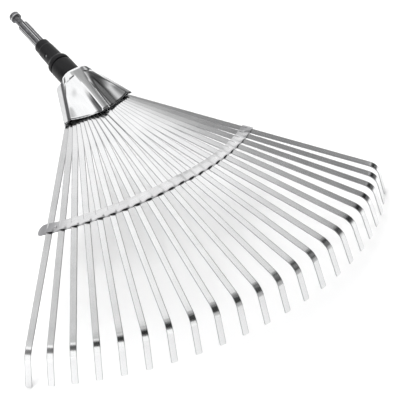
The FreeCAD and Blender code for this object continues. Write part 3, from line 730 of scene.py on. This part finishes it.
def shell_grid(half_profile, lip, hole_from, hole_to, curl):
    """Rows of a pressed shell: out from the collar hole, over the rear corner, to the lip."""
    cache = {}

    def row_at(v):
        """The whole cross section at v, from the -X side to the +X side."""
        key = round(v, 5)
        if key not in cache:
            half = half_profile(v)
            cache[key] = [(-x, z) for x, z in half] + [(x, z) for x, z in reversed(half[:-1])]
        return cache[key]

    columns = len(row_at(0.0))

    def end_of(k):
        """The v at which column k reaches the lip, found by halving."""
        near, far = 0.2, 1.0
        for _ in range(24):
            v = 0.5 * (near + far)
            x = row_at(v)[k][0]
            near, far = (v, far) if HOOD_REAR + HOOD_RUN * v < lip_at(lip, x) else (near, v)
        return near

    ends = [end_of(k) for k in range(columns)]
    rear = row_at(0.0)
    grid = []
    for out in (0.0, 0.35, 0.7, 0.93):
        row = []
        for k, (x, z) in enumerate(rear):
            angle = lerp(hole_from, hole_to, k / (columns - 1))
            hole = Vector((COLLAR_HOLE * math.cos(angle), COLLAR_HOLE * math.sin(angle)))
            spot = hole.lerp(Vector((x, z)) * 0.975, out)
            row.append((spot.x, -HOOD_REAR - 0.5 * SHEET, spot.y))
        grid.append(row)
    grid.append([(x * 0.985, -HOOD_REAR - 0.62 * SHEET, z * 0.985) for x, z in rear])
    for v in V_ROWS[1:]:
        grid.append([(x, -HOOD_REAR - HOOD_RUN * v, z) for x, z in row_at(v)])
    runs = 26
    for j in range(1, runs + 1):
        row = []
        for k in range(columns):
            v = lerp(V_ROWS[-1], ends[k], j / runs)
            x, z = row_at(v)[k]
            row.append((x, -HOOD_REAR - HOOD_RUN * v, z))
        grid.append(row)
    lip_row = grid[-1]
    for ahead, drop in curl:
        grid.append([(x, y - ahead, z + drop) for x, y, z in lip_row])
    return grid


def make_hood(chrome):
    """The two pressed shells, which meet at the seam level on either side of the collar."""
    cut = math.asin(SEAM_LEVEL / COLLAR_HOLE)
    top = shell_grid(top_half, UPPER_LIP, math.pi - cut, cut, ((0.35, -0.25), (0.4, -0.9)))
    columns = len(top[0])

    def painted_crease_shade(j, k):
        """Painted shade, dark at the folds beside the panels, along the rib's -X flank and at the
        step of the dome.
        """
        column = k if k < columns else 2 * columns - 1 - k
        from_side = min(column, columns - 1 - column)
        x, y, _ = top[j][column]
        v = (-y - HOOD_REAR) / HOOD_RUN
        if from_side < FOLD_COLUMNS[0]:
            fold = 0.22
        else:
            fold = 0.95 if from_side <= FOLD_COLUMNS[1] else 0.0
        rib = 0.95 * smooth(0.38, 0.75, v) if from_side in RIB_COLUMNS and x < 0 else 0.0
        on_step = STEP_ROWS[0] <= j <= STEP_ROWS[1]
        dash = 0.85 if on_step and DASH_FROM < abs(x) < DASH_TO else 0.0
        return max(fold, rib, dash)

    loops_piece("hood_upper_pressing", sheet_loops(top, SHEET), chrome, "head",
                "hood_top_shell", paired=True, sharp=38.0, bevel=0.22, painted_light=painted_crease_shade)
    low = shell_grid(bottom_half, LOWER_LIP, math.pi - cut, 2 * math.pi + cut,
                     ((0.5, -0.3), (0.6, -1.2), (0.1, -1.9)))
    loops_piece("hood_lower_pressing", sheet_loops(low, SHEET), chrome, "head",
                "hood_bottom_shell", paired=True, sharp=38.0, bevel=0.22)


# ---------------------------------------------------------------- tang and sleeve

SHANK_RADIUS, FLUTES, FLUTE_DEPTH = 6.9, 5, 1.1
FLUTE_FROM, FLUTE_TO = -0.5, 43.6


def flute_offset(angle):
    """Distance round the shank from the middle of the nearest flute."""
    pitch = 2 * math.pi / FLUTES
    return abs((angle + 0.5 * pitch) % pitch - 0.5 * pitch) * SHANK_RADIUS


def tang_shape(radius, y, angle):
    """Shallow flutes along the shank, running out towards its end."""
    if not FLUTE_FROM <= y <= FLUTE_TO or radius < 6.0:
        return radius
    return radius - FLUTE_DEPTH * (1 - smooth(0.62, 0.98, flute_offset(angle)))


def make_tang(alloy):
    """Fluted shank, waist and domed button; the tail and stud run on inside the sleeve."""
    corners = [(0.0, -106.3, 0), (3.9, -106.3, 0.6), (3.9, -94.0, 0), (5.8, -94.0, 0.4),
               (5.8, -0.4, 0), (6.9, -0.4, 0), (6.9, 43.5, 0.3), (6.5, 43.9, 0.2),
               (4.5, 43.9, 0.3), (4.5, 60.2, 0.3), (6.3, 60.2, 0.3), (6.8, 60.7, 0.3),
               (6.8, 66.6, 1.0), (5.2, 68.4, 0.9), (0.0, 68.8, 0)]
    profile = rounded(corners, 4)
    full = []
    for (r0, y0), (r1, y1) in zip(profile, profile[1:]):
        full.append((r0, y0))
        parts = 8 if y1 - y0 > 20 else 5 if y1 - y0 > 4 else 1
        full += [(lerp(r0, r1, k / parts), lerp(y0, y1, k / parts)) for k in range(1, parts)]
    full.append(profile[-1])
    full = [(max(r, 0.02), y) for r, y in full]
    segments = 180

    def painted_highlight(j, k):
        """Painted highlights beside the flutes and round the button's rear edge."""
        y = full[j][1]
        if y > 60.5:
            return 0.6 * smooth(60.6, 61.0, y) * (1 - smooth(62.0, 63.0, y))
        if y < 0 or y > 43.8:
            return 0.0
        offset = flute_offset(2 * math.pi * k / segments)
        return 0.9 * smooth(0.9, 1.05, offset) * (1 - smooth(1.4, 2.0, offset))

    return loops_piece("tang_casting", lathe_loops(full, segments, tang_shape), alloy, "head",
                       "tang", sharp=30.0, painted_light=painted_highlight)


def cut_hole(piece, radius, centre, direction, length):
    """A round cross hole through a finished piece."""
    cutter_mesh = bpy.data.meshes.new("hole_tool")
    tool = bmesh.new()
    bmesh.ops.create_cone(tool, cap_ends=True, segments=40, radius1=radius * MM,
                          radius2=radius * MM, depth=length * MM)
    tool.to_mesh(cutter_mesh)
    tool.free()
    cutter = bpy.data.objects.new("hole_tool", cutter_mesh)
    bpy.context.collection.objects.link(cutter)
    cutter.matrix_world = (Matrix.Translation(Vector(centre) * MM)
                           @ Vector(direction).to_track_quat("Z", "Y").to_matrix().to_4x4())
    bpy.context.view_layer.update()
    modifier = piece.modifiers.new("hole", "BOOLEAN")
    modifier.operation = "DIFFERENCE"
    modifier.solver = "EXACT"
    modifier.object = cutter
    graph = bpy.context.evaluated_depsgraph_get()
    finished = bpy.data.meshes.new_from_object(piece.evaluated_get(graph))
    piece.modifiers.remove(modifier)
    piece.data = finished
    bpy.data.objects.remove(cutter)


PIN_AT, PIN_ROLL, PIN_HOLE_RADIUS = 25.2, math.radians(60.0), 2.15


def make_sleeve(plastic):
    """The black sleeve with its flange, groove, cross hole and bore, and the collar ring."""
    corners = [(7.0, -93.9, 0), (11.0, -93.9, 0.5), (11.0, -80.0, 0), (12.2, -80.0, 0),
               (12.2, -46.8, 0), (12.9, -46.8, 0), (12.9, -45.0, 0.2), (14.3, -44.8, 0.5),
               (14.3, -39.5, 1.4), (10.9, -34.7, 1.4), (10.3, -10.9, 0.7), (9.75, -10.0, 0.7),
               (9.65, 0.0, 1.8), (7.6, 0.0, 0)]
    profile = rounded(corners, 5)
    segments = 120
    outer = lathe_loops(profile, segments)
    inner = lathe_loops([(7.6, -0.8), (5.95, -0.8), (5.95, -93.9)], segments)
    piece = loops_piece("sleeve_moulding", outer + inner, plastic, "head",
                        "handle_sleeve", sharp=35.0)
    axis = (-math.sin(PIN_ROLL), 0.0, math.cos(PIN_ROLL))
    cut_hole(piece, PIN_HOLE_RADIUS, (0.0, -PIN_AT, 0.0), axis, 60.0)
    ring = rounded([(12.25, -47.0, 0), (13.9, -47.0, 0.4), (14.4, -47.8, 0.5), (14.4, -79.0, 0.6),
                    (13.8, -79.7, 0.4), (12.25, -79.7, 0)], 4)
    inside = [(12.22, -79.6), (12.22, -47.1)]
    loops_piece("collar_moulding", lathe_loops(ring + inside, segments), plastic, "head",
                "collar_ring", sharp=35.0)


# ---------------------------------------------------------------- floor and small parts

FLOOR_SIZE, FLOOR_GAP = 6.0, 0.0005


def make_floor():
    """A wide pale floor just under the tips."""
    mesh_data = bmesh.new()
    bmesh.ops.create_grid(mesh_data, x_segments=8, y_segments=8, size=FLOOR_SIZE)
    mesh = bpy.data.meshes.new("floor")
    mesh_data.to_mesh(mesh)
    mesh_data.free()
    floor = bpy.data.objects.new("floor", mesh)
    bpy.context.collection.objects.link(floor)
    floor.location = (0.0, -0.2, cad_low[2] - FLOOR_GAP)
    mesh.materials.append(pale_floor())


def dress(node, material):
    """Give a CAD node that stays in view its finished material."""
    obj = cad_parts[node]
    for slot in obj.material_slots:
        slot.material = material


make_camera()
make_world()
bpy.context.scene.view_settings.view_transform = "Standard"
fan_middle = (0.0, -0.2, 0.0)
add_area("key_light", (-1.2, -0.4, 1.9), fan_middle, (1.6, 1.6), 32.0)
add_area("fill_light", (0.9, 1.0, 1.6), fan_middle, (1.4, 1.0), 24.0)

tine_steel = rolled_steel("rolled_spring_steel",
                          (0.84, 0.845, 0.85), (0.97, 0.97, 0.975), 0.13, 0.24)
brace_steel = rolled_steel("pressed_brace_steel",
                           (0.66, 0.66, 0.665), (0.86, 0.86, 0.865), 0.16, 0.28)
plated_steel = rolled_steel("plated_fastener_steel",
                            (0.45, 0.45, 0.46), (0.72, 0.72, 0.73), 0.25, 0.42, use_uv=False)
chrome = bright_chrome()
alloy = cast_alloy()
plastic = black_plastic()

for number in range(1, TINES + 1):
    make_tine(number, tine_steel)
make_brace_strip(+1, brace_steel)
make_brace_strip(-1, brace_steel)
make_hood(chrome)
make_tang(alloy)
make_sleeve(plastic)
for node in ("cross_pin", "tang_washer", "tang_nut", "tine_root_plate", "tine_root_strap",
             "root_rivets", "brace_rivets"):
    dress(node, plated_steel)
make_floor()
